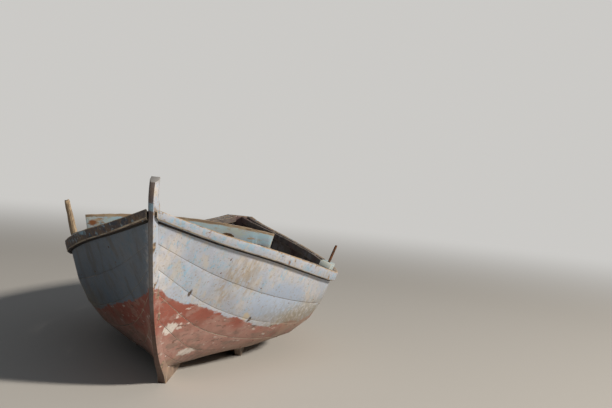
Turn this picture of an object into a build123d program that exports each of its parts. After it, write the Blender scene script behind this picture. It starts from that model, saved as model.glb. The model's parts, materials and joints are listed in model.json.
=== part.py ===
from build123d import *
import os
from math import cos, radians, sin, tan

os.makedirs("parts", exist_ok=True)

# A plank-built open rowing boat: keel, raked stem, six strakes a side, ribs, thwarts and thole posts.
# Sizes are in millimetres. +X is forward, +Y is port, and the ground is Z = 0 under the keel.

# Driving dimensions of the hull
LENGTH = 5000.0
HALF_BEAM = 880.0
DEPTH = 1025.0
KEEL_PROUD = 55.0
SIDING = 50.0
PLANK = 18.0
SEAM = 2.0
CLEAR = 0.4

# Keel, stem and stern timbers
KEEL_ABOVE = 35.0
KEEL_SCARF = 90.0
STEM_BACK = 60.0
STEM_ABOVE = 158.0
STEM_RAKE_ABOVE = 35.0
STEM_HEAD_NOSE = 24.0
STEM_FOOT_NOSE = 40.0
POST_DEPTH = 60.0
POST_TOP = 560.0
TRANSOM_THICK = 26.0
DEADWOOD_FROM = 1400.0
DEADWOOD_MOULD_COUNT = 3

# Ribs, floor timbers and long timbers
RIB_SIDED = 26.0
RIB_DEPTH = 30.0
RIB_COUNT = 9
RIB_BREAK = 3
RIB_FROM_STERN = 640.0
RIB_FROM_BOW = 730.0
FLOOR_SIDED = 30.0
FLOOR_TOP = 150.0
RAIL_THICK = 28.0
RAIL_HIGH = 66.0
INWALE_THICK = 24.0
INWALE_HIGH = 45.0
RISER_THICK = 20.0
RISER_HIGH = 45.0
THWART_UNDER = 390.0
THWART_THICK = 26.0
THWART_WIDE = 220.0
THWARTS = {"aft": 1180.0, "middle": 2120.0, "fore": 3130.0}
BOARD_THICK = 16.0
BOARD_WIDE = 120.0
BOARD_GAP = 10.0
BOARD_COUNT = 5
PLANK_GAP = 4.0
RUNNER_WIDE = 40.0
RUNNER_OUT = 300.0
RUNNER_FROM = 1450.0
RUNNER_TO = 3150.0
RUNNER_TAPER = 220.0

# Foredeck, the cambered board across its edge, stern bench and tholes
BREAKWATER_HIGH = 88.0
BREAKWATER_THICK = 25.0
BREAKWATER_CAMBER = 40.0
BREAKWATER_GAP = 2.0
DECK_LONG = 1035.0
DECK_DROP = 30.0
DECK_THICK = 18.0
DECK_PLANKS = 6
DECK_PLANK_WIDE = 112.0
BEAM_SIDED = 40.0
BEAM_HIGH = 55.0
BENCH_FROM = 225.0
BENCH_TO = 666.0
BENCH_PLANKS = 3
BENCH_UNDER = 500.0
THOLE_AT = 2750.0
# Tholes: the side they stand on, their name, diameter, tenon's diameter and height over their block
THOLES = (("port", "thole_pin", 16.0, 10.0, 125.0), ("starboard", "thole_post", 40.0, 24.0, 250.0))
BLOCK_LONG = 170.0
BLOCK_HIGH = 42.0

# The mould table. Each row: foot / LENGTH, rake in degrees, bevel, then half breadth / HALF_BEAM and
# height above the rabbet / DEPTH of the four points that draw the mould from keel to sheer.
MOULDS = [
    (0.846, 39.3, 1.15, (-0.005, 0.033, 0.049, -0.041), (0.005, 0.335, 0.660, 0.959)),
    (0.780, 33.0, 1.12, (0.000, 0.150, 0.212, 0.326), (0.000, 0.040, 0.400, 0.823)),
    (0.714, 22.0, 1.08, (0.000, 0.290, 0.490, 0.621), (0.000, 0.000, 0.180, 0.716)),
    (0.618, 9.0, 1.03, (0.000, 0.540, 0.730, 0.885), (0.000, -0.005, 0.080, 0.591)),
    (0.490, 0.0, 1.00, (0.000, 0.705, 0.870, 1.000), (0.000, -0.015, 0.044, 0.496)),
    (0.340, 0.0, 1.02, (0.000, 0.591, 0.785, 0.893), (0.003, -0.010, 0.064, 0.496)),
    (0.201, -3.0, 1.06, (0.000, 0.340, 0.545, 0.591), (0.044, 0.054, 0.145, 0.546)),
    (0.082, -7.0, 1.10, (0.000, 0.113, 0.235, 0.235), (0.141, 0.181, 0.310, 0.605)),
    (0.031, -10.0, 1.10, (0.000, 0.057, 0.099, 0.087), (0.210, 0.239, 0.375, 0.639)),
]
# Straight runs between two moulds of the table
STEPS = 3
# Seam places along each mould, from the keel to the sheer
SEAMS = (0.0, 0.19, 0.36, 0.52, 0.67, 0.82, 1.0)
STRAKES = ("garboard", "second_strake", "third_strake", "fourth_strake", "fifth_strake", "sheer_strake")
# Places of the butts where the two planks of a strake meet, taken in turn
BUTTS = (1780.0, 2680.0)
# Places up the planking where the stem's section is drawn, from the sheer down, and its nose's width there
STEM_NOSES = {1.0: 20.0, 0.82: 17.0, 0.67: 16.0, 0.52: 16.0, 0.36: 18.0, 0.27: 22.0, 0.19: 28.0, 0.12: 34.0}

TRANSOM_FOOT = MOULDS[-1][0] * LENGTH
TRANSOM_RAKE = MOULDS[-1][1]
KEEL_TOP = KEEL_PROUD + KEEL_ABOVE


def mould_plane(row):
    foot, rake = row[0], radians(row[1])
    return Plane(origin=(foot * LENGTH, 0, 0), x_dir=(0, 1, 0), z_dir=(cos(rake), 0, -sin(rake)))


def mould_point(row, u):
    """Point of a mould's outer curve, in the mould's own plane."""
    share = ((1 - u) ** 3, 3 * u * (1 - u) ** 2, 3 * u * u * (1 - u), u**3)
    breadth = sum(a * b for a, b in zip(share, row[3])) * HALF_BEAM
    height = KEEL_PROUD + sum(a * b for a, b in zip(share, row[4])) * DEPTH
    return Vector(breadth, height / cos(radians(row[1])))


def seam_point(row, number, inset):
    """Corner of a seam, moved inwards by inset square to the planks that meet there."""
    chords = [(mould_point(row, b) - mould_point(row, a)).normalized() for a, b in zip(SEAMS, SEAMS[1:])]
    along = (chords[max(number - 1, 0)] + chords[min(number, len(chords) - 1)]).normalized()
    return mould_point(row, SEAMS[number]) + Vector(-along.Y, along.X) * inset * row[2]


def strake_outline(row, number):
    low, high = seam_point(row, number, 0), seam_point(row, number + 1, 0)
    gap = (high - low).normalized() * SEAM / 2
    low_in, high_in = seam_point(row, number, PLANK), seam_point(row, number + 1, PLANK)
    return low + gap, high - gap, high_in - gap, low_in + gap


def topside_axes(row):
    """The sheer point of a mould, and the unit vectors up and into the topside plank there."""
    sheer = seam_point(row, len(STRAKES), 0)
    up = (sheer - seam_point(row, len(STRAKES) - 1, 0)).normalized()
    return sheer, up, Vector(-up.Y, up.X)


def gunwale_outline(row, inset, thick, low, high):
    """A timber along the sheer: inset from the plank's outside, and low and high along its face."""
    sheer, up, inward = topside_axes(row)
    near, far = inward * row[2] * inset, inward * row[2] * (inset + thick)
    return sheer + near + up * low, sheer + near + up * high, sheer + far + up * high, sheer + far + up * low


def rib_outline(row, first, last):
    """The ribs' band inside the planks, from one seam to another."""
    outer = [seam_point(row, number, PLANK + CLEAR) for number in range(first, last + 1)]
    inner = [seam_point(row, number, RIBS_IN) for number in range(last, first - 1, -1)]
    return outer + inner


def inside_outline(row, inset):
    """The port half of the boat's inside, out to inset within the planks' outside."""
    skin = [seam_point(row, number, inset) for number in range(len(SEAMS))]
    over = -HALF_BEAM / 4
    return [Vector(over, skin[0].Y)] + skin + [Vector(over, skin[-1].Y)]


def blend(four, t):
    """A smooth run through the middle two of four values, from the second at t = 0 to the third at 1."""
    if isinstance(four[0], tuple):
        return tuple(blend(values, t) for values in zip(*four))
    a, b, c, d = four
    return b + t * (c - a + t * (2 * a - 5 * b + 4 * c - d + t * (3 * b - a - 3 * c + d))) / 2


def fair_moulds():
    """The moulds with STEPS - 1 more between each two, so that straight runs follow the hull's curves."""
    last = len(MOULDS) - 1
    rows = []
    for number in range(last):
        four = [MOULDS[min(max(number + step, 0), last)] for step in (-1, 0, 1, 2)]
        rows += [blend(four, step / STEPS) for step in range(STEPS)]
    return rows + [MOULDS[-1]]


def loft_moulds(outline, *sizes):
    """A solid through the outline drawn in every mould's plane."""
    faces = []
    for row in fair_moulds():
        with BuildSketch(mould_plane(row), mode=Mode.PRIVATE) as face:
            with BuildLine():
                Polyline(*outline(row, *sizes), close=True)
            make_face()
        faces.append(face.sketch)
    loft(faces, ruled=True)


def in_the_boat(row, point):
    return mould_plane(row).from_local_coords(point)


def stem_point(u):
    """Where the planking's line at u up the moulds meets the side of the stem."""
    line = [in_the_boat(row, mould_point(row, u)) for row in fair_moulds()]
    for fore, aft in zip(line, line[1:]):
        if fore.Y <= SIDING / 2 <= aft.Y:
            meet = fore + (aft - fore) * ((SIDING / 2 - fore.Y) / (aft.Y - fore.Y))
            return meet.X, meet.Z


def stem_forward(points, number):
    """Unit vector out of the stem's nose at one of its points."""
    before, after = points[max(number - 1, 0)], points[min(number + 1, len(points) - 1)]
    return Vector(before[1] - after[1], 0, after[0] - before[0]).normalized()


def sheer_at(x, line):
    """The point of a line along the boat at a distance x from the stern, found by halving."""
    low, high = 0.0, 1.0
    for _ in range(40):
        half = (low + high) / 2
        if (line @ half).X > x:
            low = half
        else:
            high = half
    return line @ low


def corner_line(corner, *sizes):
    """The line along the boat of one corner of a timber at the sheer."""
    with BuildLine() as line:
        Spline(*[in_the_boat(row, gunwale_outline(row, *sizes)[corner]) for row in MOULDS])
    return line.line


def finish(part, name):
    placed = part.moved(Location((-MIDDLE, 0, 0)))
    placed.label = name
    export_step(placed, f"parts/{name}.step")


def finish_pair(part, name):
    finish(part, f"{name}_port")
    finish(mirror(part, about=Plane.XZ), f"{name}_starboard")


# The stem's line from its head to its foot on the keel, and the boat's middle along its length
stem_points = [stem_point(u) for u in STEM_NOSES]
stem_points.insert(0, (stem_points[0][0] + STEM_RAKE_ABOVE, stem_points[0][1] + STEM_ABOVE))
bow_x = stem_points[1][0]
keel_fore = stem_points[-1][0] - KEEL_SCARF
stem_points.append((keel_fore, KEEL_PROUD))
BOW_END = stem_points[0][0] + stem_forward(stem_points, 0).X * KEEL_PROUD
STERN_END = TRANSOM_FOOT + POST_TOP * tan(radians(TRANSOM_RAKE)) - POST_DEPTH / cos(radians(TRANSOM_RAKE))
MIDDLE = (BOW_END + STERN_END) / 2

PORT_OF_KEEL = Plane(origin=(0, SIDING / 2, 0), z_dir=(0, 1, 0))
PORT_HALF = Plane(origin=(0, 0, 0), z_dir=(0, 1, 0))
TRANSOM_PLANE = mould_plane(MOULDS[-1])
TRANSOM_FORE = TRANSOM_PLANE.offset(TRANSOM_THICK)
RAKE_AFT = tan(radians(TRANSOM_RAKE))
RIBS_IN = PLANK + RIB_DEPTH
INWALES_IN = RIBS_IN + CLEAR + INWALE_THICK
# Inset, thickness, and low and high edges from the sheer, of the rail outside and the inwale inside
RAIL_SIZES = (-RAIL_THICK, RAIL_THICK - CLEAR, -RAIL_HIGH, 0)
INWALE_SIZES = (RIBS_IN + CLEAR, INWALE_THICK, -INWALE_HIGH, 0)
# A box wide and high enough to hold half the boat
WIDE = 2 * HALF_BEAM
HIGH = 2 * DEPTH

# The inside of the planks, ribs, risers and inwales, as half solids that the fittings are cut with
with BuildPart() as outside_planks:
    loft_moulds(inside_outline, -CLEAR)
with BuildPart() as inside_planks:
    loft_moulds(inside_outline, PLANK + CLEAR)
with BuildPart() as inside_ribs:
    loft_moulds(inside_outline, RIBS_IN)
with BuildPart() as inside_ribs_clear:
    loft_moulds(inside_outline, RIBS_IN + CLEAR)
with BuildPart() as inside_risers:
    loft_moulds(inside_outline, RIBS_IN + CLEAR + RISER_THICK)
with BuildPart() as inside_inwales:
    loft_moulds(inside_outline, INWALES_IN + CLEAR)

# Planking, each strake of two planks that butt
for number, name in enumerate(STRAKES):
    with BuildPart() as strake:
        loft_moulds(strake_outline, number)
        split(bisect_by=PORT_OF_KEEL, keep=Keep.TOP)
        with BuildSketch(Plane.YZ.offset(BUTTS[number % len(BUTTS)])):
            Rectangle(2 * WIDE, 2 * HIGH)
        extrude(amount=SEAM, mode=Mode.SUBTRACT)
    finish_pair(strake.part, name)

# Rubbing rails outside and inwales inside, from the stem to the transom
with BuildPart() as rail:
    loft_moulds(gunwale_outline, *RAIL_SIZES)
    split(bisect_by=PORT_OF_KEEL, keep=Keep.TOP)
finish_pair(rail.part, "rail")

with BuildPart() as inwale:
    loft_moulds(gunwale_outline, *INWALE_SIZES)
    split(bisect_by=PORT_OF_KEEL, keep=Keep.TOP)
    split(bisect_by=TRANSOM_FORE, keep=Keep.TOP)
finish_pair(inwale.part, "inwale")

# Keel, with its after end on the transom's rake
with BuildPart() as keel:
    with BuildSketch(Plane.XZ):
        with BuildLine():
            Polyline(
                (TRANSOM_FOOT, 0),
                (keel_fore, 0),
                (keel_fore, KEEL_TOP),
                (TRANSOM_FOOT + KEEL_TOP * RAKE_AFT, KEEL_TOP),
                close=True,
            )
        make_face()
    extrude(amount=SIDING / 2, both=True)
finish(keel.part, "keel")

# Deadwood over the keel's after end, under the rising planks
rabbet = [in_the_boat(row, mould_point(row, 0)) for row in MOULDS[-DEADWOOD_MOULD_COUNT:]]
wood_top = [(DEADWOOD_FROM, KEEL_TOP)] + [(point.X, point.Z + KEEL_ABOVE) for point in rabbet]
with BuildPart() as deadwood:
    with BuildSketch(Plane.XZ):
        with BuildLine():
            Spline(*wood_top)
            Polyline(wood_top[-1], (TRANSOM_FOOT + KEEL_TOP * RAKE_AFT, KEEL_TOP), wood_top[0])
        make_face()
    extrude(amount=SIDING / 2, both=True)
    split(bisect_by=TRANSOM_PLANE, keep=Keep.TOP)
finish(deadwood.part, "deadwood")

# Stern post on the transom's after face
with BuildPart() as stern_post:
    with BuildSketch(Plane.XZ):
        with BuildLine():
            aft = POST_DEPTH / cos(radians(TRANSOM_RAKE))
            Polyline(
                (TRANSOM_FOOT, 0),
                (TRANSOM_FOOT + POST_TOP * RAKE_AFT, POST_TOP),
                (TRANSOM_FOOT + POST_TOP * RAKE_AFT - aft, POST_TOP),
                (TRANSOM_FOOT - aft, 0),
                close=True,
            )
        make_face()
    extrude(amount=SIDING / 2, both=True)
finish(stern_post.part, "stern_post")

# Transom, inside the ends of the planks and standing on the deadwood
with BuildPart() as transom:
    add(inside_planks.part)
    split(bisect_by=TRANSOM_FORE, keep=Keep.BOTTOM)
    split(bisect_by=PORT_HALF, keep=Keep.TOP)
    split(bisect_by=Plane.XY.offset(wood_top[-1][1] + CLEAR), keep=Keep.TOP)
    mirror(about=Plane.XZ)
finish(transom.part, "transom")

# Stem: square behind the rabbet and drawn in to a narrow nose before it
noses = [STEM_HEAD_NOSE] + list(STEM_NOSES.values()) + [STEM_FOOT_NOSE]
stem_faces = []
for number, (x, z) in enumerate(stem_points):
    forward, back, nose = stem_forward(stem_points, number), STEM_BACK, noses[number]
    if number == len(stem_points) - 1:
        forward, back = Vector(0, 0, -1), KEEL_ABOVE
    with BuildSketch(Plane(origin=(x, 0, z), x_dir=(0, 1, 0), z_dir=(forward.Z, 0, -forward.X))) as face:
        with BuildLine():
            Polyline(
                (-SIDING / 2, -back),
                (SIDING / 2, -back),
                (SIDING / 2, 0),
                (nose / 2, KEEL_PROUD),
                (-nose / 2, KEEL_PROUD),
                (-SIDING / 2, 0),
                close=True,
            )
        make_face()
    stem_faces.append(face.sketch)
with BuildPart() as stem:
    loft(stem_faces)
finish(stem.part, "stem")

# Ribs, from the keel's side up to the sheer
rib_spacing = (bow_x - RIB_FROM_BOW - RIB_FROM_STERN) / (RIB_COUNT - 1)
rib_places = [RIB_FROM_STERN + number * rib_spacing for number in range(RIB_COUNT)]
for name, first, last in (("rib_feet", 0, RIB_BREAK), ("rib_heads", RIB_BREAK, len(STRAKES))):
    with BuildPart() as rib_lines:
        loft_moulds(rib_outline, first, last)
    with BuildPart() as ribs:
        for x in rib_places:
            with BuildSketch(Plane.XY):
                with Locations((x, SIDING / 2)):
                    Rectangle(RIB_SIDED, WIDE, align=(Align.MIN, Align.MIN))
            extrude(amount=HIGH)
        add(rib_lines.part, mode=Mode.INTERSECT)
    finish_pair(ribs.part, name)

# Floor timbers beside the ribs and across the keel, level on top
with BuildPart() as floors:
    for x in rib_places[1:-1]:
        with BuildSketch(Plane.XY):
            with Locations((x + RIB_SIDED, 0)):
                Rectangle(FLOOR_SIDED, WIDE, align=(Align.MIN, Align.MIN))
        extrude(amount=FLOOR_TOP)
    add(inside_planks.part, mode=Mode.INTERSECT)
    mirror(about=Plane.XZ)
    add(keel.part, mode=Mode.SUBTRACT)
    add(deadwood.part, mode=Mode.SUBTRACT)
finish(floors.part, "floor_timbers")

# Bottom boards on the floor timbers
boards_from = rib_places[1] + RIB_SIDED
boards_to = rib_places[-2] + RIB_SIDED + FLOOR_SIDED
with BuildPart() as bottom_boards:
    for number in range(BOARD_COUNT // 2 + 1):
        with BuildSketch(Plane.XY.offset(FLOOR_TOP)):
            with Locations((boards_from, number * (BOARD_WIDE + BOARD_GAP) - BOARD_WIDE / 2)):
                Rectangle(boards_to - boards_from, BOARD_WIDE, align=(Align.MIN, Align.MIN))
        extrude(amount=BOARD_THICK)
    split(bisect_by=PORT_HALF, keep=Keep.TOP)
    add(inside_ribs_clear.part, mode=Mode.INTERSECT)
    mirror(about=Plane.XZ)
finish(bottom_boards.part, "bottom_boards")


def stringer(x0, x1, top):
    """A timber fastened inside the ribs, from x0 to x1, with its top at a level."""
    with BuildPart() as timber:
        with BuildSketch(Plane.XY.offset(top - RISER_HIGH)):
            with Locations((x0, 0)):
                Rectangle(x1 - x0, WIDE, align=(Align.MIN, Align.MIN))
        extrude(amount=RISER_HIGH)
        add(inside_ribs_clear.part, mode=Mode.INTERSECT)
        add(inside_risers.part, mode=Mode.SUBTRACT)
        split(bisect_by=TRANSOM_FORE, keep=Keep.TOP)
    return timber.part


def seat(x0, x1, under, planks, thick):
    """Planks right across the boat at a level, with their ends cut to the inside of the ribs."""
    wide = (x1 - x0 - (planks - 1) * PLANK_GAP) / planks
    with BuildPart() as seat_planks:
        for number in range(planks):
            with BuildSketch(Plane.XY.offset(under)):
                with Locations((x0 + number * (wide + PLANK_GAP), 0)):
                    Rectangle(wide, WIDE, align=(Align.MIN, Align.MIN))
            extrude(amount=thick)
        add(inside_ribs_clear.part, mode=Mode.INTERSECT)
        split(bisect_by=TRANSOM_FORE, keep=Keep.TOP)
        mirror(about=Plane.XZ)
    return seat_planks.part


# Risers and the thwarts that lie on them
finish_pair(stringer(rib_places[1], rib_places[-2] + RIB_SIDED, THWART_UNDER), "riser")
for name, x in THWARTS.items():
    finish(seat(x, x + THWART_WIDE, THWART_UNDER, 1, THWART_THICK), f"thwart_{name}")

# Stern bench on its own bearers
finish_pair(stringer(0, BENCH_TO, BENCH_UNDER), "bench_bearer")
finish(seat(BENCH_FROM, BENCH_TO, BENCH_UNDER, BENCH_PLANKS, BOARD_THICK), "stern_bench")

# Foredeck on its beam, with planks that run forward to the stem
with BuildLine() as sheer:
    Spline(*[in_the_boat(row, mould_point(row, 1)) for row in MOULDS])
sheer_line = sheer.line
deck_edge = bow_x - DECK_LONG
edge_height = sheer_at(deck_edge, sheer_line).Z - DECK_DROP
rise = sheer_at(bow_x, sheer_line).Z - DECK_DROP - edge_height
deck_top = Plane(origin=(deck_edge, 0, edge_height), x_dir=(DECK_LONG, 0, rise), z_dir=(-rise, 0, DECK_LONG))
with BuildPart() as foredeck:
    for number in range(DECK_PLANKS // 2):
        with BuildSketch(deck_top):
            with Locations((0, PLANK_GAP / 2 + number * (DECK_PLANK_WIDE + PLANK_GAP))):
                Rectangle(LENGTH, DECK_PLANK_WIDE, align=(Align.MIN, Align.MIN))
        extrude(amount=-DECK_THICK)
    add(inside_inwales.part, mode=Mode.INTERSECT)
    mirror(about=Plane.XZ)
    add(stem.part, mode=Mode.SUBTRACT)
finish(foredeck.part, "foredeck")

with BuildPart() as deck_beam:
    with BuildSketch(deck_top.offset(-DECK_THICK)):
        Rectangle(4 * BEAM_SIDED, WIDE)
    extrude(amount=-BEAM_HIGH)
    split(bisect_by=Plane.YZ.offset(deck_edge), keep=Keep.TOP)
    split(bisect_by=Plane.YZ.offset(deck_edge + BEAM_SIDED), keep=Keep.BOTTOM)
    split(bisect_by=PORT_HALF, keep=Keep.TOP)
    add(inside_ribs_clear.part, mode=Mode.INTERSECT)
    mirror(about=Plane.XZ)
finish(deck_beam.part, "deck_beam")

# Raised board across the foredeck's edge, with its ends on the gunwales and a cambered top
board_face = deck_edge + BREAKWATER_THICK
sheer_end = sheer_at(board_face, sheer_line)
inwale_top = sheer_at(board_face, corner_line(2, *INWALE_SIZES))
inwale_foot = sheer_at(board_face, corner_line(3, *INWALE_SIZES))
lean = (sheer_end - inwale_top).cross(Vector(-1, 0, 0)).normalized() * BREAKWATER_HIGH
profile = [
    (inwale_foot.Y - BREAKWATER_GAP, edge_height),
    (inwale_foot.Y - BREAKWATER_GAP, inwale_top.Z + BREAKWATER_GAP),
    (inwale_top.Y, inwale_top.Z + BREAKWATER_GAP),
    (sheer_end.Y, sheer_end.Z + BREAKWATER_GAP),
    (sheer_end.Y + lean.Y, sheer_end.Z + lean.Z),
]
with BuildPart() as breakwater:
    with BuildSketch(Plane.YZ.offset(deck_edge)):
        with BuildLine():
            Polyline(*[(-y, z) for y, z in reversed(profile)], *profile)
            top_end = profile[-1]
            ThreePointArc(top_end, (0, top_end[1] + BREAKWATER_CAMBER), (-top_end[0], top_end[1]))
        make_face()
    extrude(amount=BREAKWATER_THICK)
    split(bisect_by=deck_top.offset(CLEAR), keep=Keep.TOP)
finish(breakwater.part, "breakwater")

# Bilge runners under the hull, level with the keel and tapered at their ends
with BuildPart() as runner:
    with BuildSketch(Plane.XZ.offset(-RUNNER_OUT)):
        with BuildLine():
            Polyline(
                (RUNNER_FROM, FLOOR_TOP),
                (RUNNER_FROM + RUNNER_TAPER, 0),
                (RUNNER_TO - RUNNER_TAPER, 0),
                (RUNNER_TO, FLOOR_TOP),
                close=True,
            )
        make_face()
    extrude(amount=-RUNNER_WIDE)
    add(outside_planks.part, mode=Mode.SUBTRACT)
finish_pair(runner.part, "bilge_runner")


def topside_plane(x):
    """Plane across the topside at x: its X axis runs into the boat and its normal up the plank."""
    sheer = sheer_at(x, sheer_line)
    lower = sheer_at(x, lower_line)
    ahead = sheer_at(x + BLOCK_LONG / 2, sheer_line) - sheer_at(x - BLOCK_LONG / 2, sheer_line)
    up = sheer - lower
    inward = ahead.cross(up)
    return Plane(origin=sheer, x_dir=inward, z_dir=up)


# Thole blocks on the gunwale, bored for the tholes that stand up through them
with BuildLine() as lower_seam:
    Spline(*[in_the_boat(row, mould_point(row, SEAMS[-2])) for row in MOULDS])
lower_line = lower_seam.line
thole_base = topside_plane(THOLE_AT)
for side, name, size, tenon, high in THOLES:
    with BuildPart() as block:
        loft_moulds(gunwale_outline, 0, INWALES_IN, CLEAR, 2 * BLOCK_HIGH)
        split(bisect_by=thole_base.offset(BLOCK_HIGH), keep=Keep.BOTTOM)
        split(bisect_by=Plane.YZ.offset(THOLE_AT - BLOCK_LONG / 2), keep=Keep.TOP)
        split(bisect_by=Plane.YZ.offset(THOLE_AT + BLOCK_LONG / 2), keep=Keep.BOTTOM)
        with BuildSketch(thole_base):
            with Locations((INWALES_IN / 2, 0)):
                Circle(tenon / 2 + CLEAR)
        extrude(amount=2 * BLOCK_HIGH, both=True, mode=Mode.SUBTRACT)
    with BuildPart() as thole:
        with BuildSketch(thole_base.offset(CLEAR)):
            with Locations((INWALES_IN / 2, 0)):
                Circle(tenon / 2)
        extrude(amount=BLOCK_HIGH)
        with BuildSketch(thole_base.offset(BLOCK_HIGH + CLEAR)):
            with Locations((INWALES_IN / 2, 0)):
                Circle(size / 2)
        extrude(amount=high)
    if side == "starboard":
        finish(mirror(block.part, about=Plane.XZ), f"thole_block_{side}")
        finish(mirror(thole.part, about=Plane.XZ), f"{name}_{side}")
    else:
        finish(block.part, f"thole_block_{side}")
        finish(thole.part, f"{name}_{side}")
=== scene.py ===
"""Dresses the plank-built rowing boat: worn planks and paint, nails, tholes, and the studio it stands in."""

import json
import math
import random

import bpy
from mathutils import Matrix, Vector, noise

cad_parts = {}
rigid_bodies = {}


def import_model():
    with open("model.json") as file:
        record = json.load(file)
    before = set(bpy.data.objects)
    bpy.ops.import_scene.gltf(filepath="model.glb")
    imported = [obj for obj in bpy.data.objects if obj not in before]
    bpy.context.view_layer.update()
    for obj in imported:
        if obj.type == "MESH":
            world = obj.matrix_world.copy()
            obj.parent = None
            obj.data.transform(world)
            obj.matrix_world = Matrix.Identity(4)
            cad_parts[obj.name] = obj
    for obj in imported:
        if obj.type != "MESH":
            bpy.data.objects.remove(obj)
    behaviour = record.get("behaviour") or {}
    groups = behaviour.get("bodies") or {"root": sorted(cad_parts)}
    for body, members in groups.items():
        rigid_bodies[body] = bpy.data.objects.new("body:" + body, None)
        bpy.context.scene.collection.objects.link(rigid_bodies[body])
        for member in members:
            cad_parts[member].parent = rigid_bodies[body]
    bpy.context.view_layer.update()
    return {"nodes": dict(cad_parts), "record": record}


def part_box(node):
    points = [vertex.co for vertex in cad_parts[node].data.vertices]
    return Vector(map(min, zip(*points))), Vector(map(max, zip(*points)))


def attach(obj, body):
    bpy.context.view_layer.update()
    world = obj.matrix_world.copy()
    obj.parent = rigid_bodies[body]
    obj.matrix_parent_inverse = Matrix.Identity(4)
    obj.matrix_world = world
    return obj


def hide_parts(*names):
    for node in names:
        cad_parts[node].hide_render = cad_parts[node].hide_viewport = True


bl_info = {
    "name": "Plank-built rowing boat",
    "version": (1, 0, 0),
    "blender": (4, 5, 0),
    "location": "View3D > Sidebar > Boat",
    "description": "Finishes an old painted wooden rowing boat piece by piece",
    "category": "Object",
}

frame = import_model()
BODY = "root"
SIDES = ("port", "starboard")
STRAKES = ("garboard", "second_strake", "third_strake", "fourth_strake", "fifth_strake", "sheer_strake")
MOUNTS = {mount["name"]: mount for mount in frame["record"]["mounts"]}
SLOTS = {part["node"]: part["material_slot"] for part in frame["record"]["subparts"]}

# The paint line is level along the boat and rises ahead of PAINT_TURN towards the stem
PAINT_LEVEL = 0.27
PAINT_SLOPE = 0.252
PAINT_TURN = 0.9
# How far the paint line wavers up and down, in fine and in broad waves
LINE_FINE = 0.035
LINE_BROAD = 0.10

# Marks in the paint that the photograph shows, as centres and half axes
LILAC_PATCH = (1.00, 0.53, 0.46), (0.42, 0.30, 0.15)
BLUE_BY_STEM = (2.00, 0.12, 0.66), (0.25, 0.12, 0.13)
BROWN_STAIN = (1.54, 0.34, 0.62), (0.30, 0.30, 0.16)
SCRAPES = (
    ((1.86, 0.055, 0.36), (0.105, 0.06, 0.040)),
    ((1.46, 0.10, 0.18), (0.11, 0.08, 0.030)),
)
CREAM_CHIP = (1.21, 0.40, 0.375), (0.055, 0.04, 0.026)
GOUGES = (1.858, 0.146, 0.560), (1.154, 0.422, 0.352)
GOUGE_SIZE = (0.020, 0.020, 0.032)
BLUE_RAIL_END = (1.33, -0.60, 0.80), (0.16, 0.14, 0.046)

# Depths under the rails' top where the stem's brown head begins and is full
HEAD_BEGINS = 0.10
HEAD_FULL = 0.04
# Blue left on the stem's nose, from the nose and the rails' top, and where the pale tip begins and is full
NOSE_PATCH = (-0.02, -0.010, 0.010)
NOSE_PATCH_SIZE = (0.08, 0.04, 0.024)
TIP_BEGINS = 0.030
TIP_FULL = 0.022

# Tints of the wear and of painted shade, with the grain's darker tint after each timber's paler one
GREY_BLUE = (0.385, 0.405, 0.480)
LILAC = (0.335, 0.405, 0.520)
RUN_OFF = (0.330, 0.250, 0.150)
FRECKLES = (0.330, 0.270, 0.190)
FLAKES = (0.240, 0.170, 0.110)
# Dark stains within the starboard side's painted shade, darkened with it
DARK_STAINS_IN_SHADE = (0.060, 0.058, 0.060)
PINK_DUST = (0.350, 0.245, 0.205)
SMEARS = (0.190, 0.130, 0.100)
CHIPS = (0.120, 0.070, 0.055)
SPLASHED_MUD = (0.250, 0.230, 0.180)
DAMP_MUD = (0.130, 0.100, 0.078)
# The stem's grey and brown wood goes on the faces turned from the light: partly bare wood, partly painted
# shade
STEM_GREY = (0.215, 0.205, 0.200)
STEM_GREY_GRAIN = (0.070, 0.066, 0.066)
STEM_BROWN = (0.120, 0.070, 0.055)
STEM_BROWN_GRAIN = (0.030, 0.018, 0.014)
END_GRAIN = (0.330, 0.320, 0.310)
RAIL_GRAIN = (0.150, 0.105, 0.070)
# The starboard rail's dark blue: partly its own dark colour, partly painted shade
RAIL_NAVY_AND_SHADE = (0.028, 0.032, 0.050)
RAIL_BROWN = (0.095, 0.062, 0.045)
BOARD_FADED = (0.420, 0.465, 0.430)
BOARD_TAN = (0.400, 0.330, 0.230)
BOARD_GRAIN = (0.170, 0.120, 0.080)
THOLE = (0.470, 0.350, 0.225)
THOLE_GRAIN = (0.270, 0.185, 0.115)
THOLE_BLOTCH = (0.180, 0.120, 0.080)
EDGE_GRAIN = (0.140, 0.095, 0.060)
# A black bead under each rubbing rail stands in for the rail's shadow: painted shadow
SHADOW_BEAD_BLACK = (0.022, 0.017, 0.015)
SHADOW_BEAD_DUST = (0.110, 0.080, 0.060)
RUST_DARK = (0.060, 0.038, 0.028)

# Patches of a paint, of wear or of painted shade: scale, the noise values where they begin and are full,
# stretch and shift
GREY_BLUE_PATCHES = 18, 0.46, 0.56, (1, 1, 0.8), (2, 9, 4)
CREAM_PATCHES = 16, 0.54, 0.64, (1, 1, 0.6), (4, 0, 2)
OLD_BLUE_PATCHES = 9, 0.53, 0.64, (1, 1, 1.2), (7, 2, 1)
OLD_BLUE_BROKEN = 60, 0.46, 0.58, (1, 1, 0.5), (1, 2, 9)
BLUE_FLECKS = 34, 0.61, 0.67, (1, 1, 0.6), (1, 8, 1)
STEM_BLUE_BROKEN = 30, 0.50, 0.58, (1, 1, 0.6), (6, 3, 5)
FAINT_STAINS = 2.1, 0.55, 0.66, (1, 1, 1), (1, 5, 2)
FRECKLE_PATCHES = 55, 0.56, 0.66, (0.8, 0.8, 0.8), (5, 2, 2)
FLAKE_PATCHES = 90, 0.61, 0.66, (0.6, 0.6, 1), (2, 2, 6)
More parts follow.
